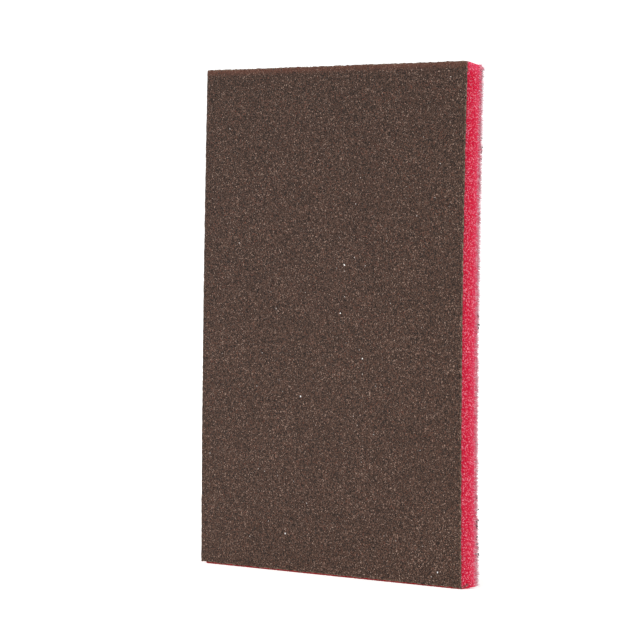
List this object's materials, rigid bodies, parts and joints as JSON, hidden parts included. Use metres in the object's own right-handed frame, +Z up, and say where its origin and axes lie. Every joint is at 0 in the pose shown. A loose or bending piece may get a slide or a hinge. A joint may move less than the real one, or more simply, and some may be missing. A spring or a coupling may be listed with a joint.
{
  "type": "foam sanding pad",
  "caption": "Thin flexible foam pad with an abrasive coat on both faces, for sanding flat and curved surfaces by hand.",
  "frame": {"origin": "middle of the bottom edge that the pad stands on, half way through its thickness", "axes": "+X across the width, +Y through the thickness from the front face to the rear face, +Z up the height"},
  "size_m": [0.115, 0.0056, 0.14],
  "materials": {
    "foam": "matte",
    "barrier_coat": "satin",
    "make_coat": "satin",
    "grit_layer": "matte",
    "size_coat": "satin"
  },
  "bodies": {
    "foam_and_rear_face": {"foam_core": "foam", "rear_barrier_coat": "barrier_coat", "rear_make_coat": "make_coat", "rear_grit_layer": "grit_layer", "rear_size_coat": "size_coat"},
    "front_face": {"front_barrier_coat": "barrier_coat", "front_make_coat": "make_coat", "front_grit_layer": "grit_layer", "front_size_coat": "size_coat"}
  },
  "joints": [
    {"name": "foam_squeeze", "type": "slide", "parent": "foam_and_rear_face", "child": "front_face", "axis": [0, 1, 0], "range_m": [0, 0.0025], "stiffness_N_per_m": 30000, "deforming": ["foam_core"]}
  ]
}
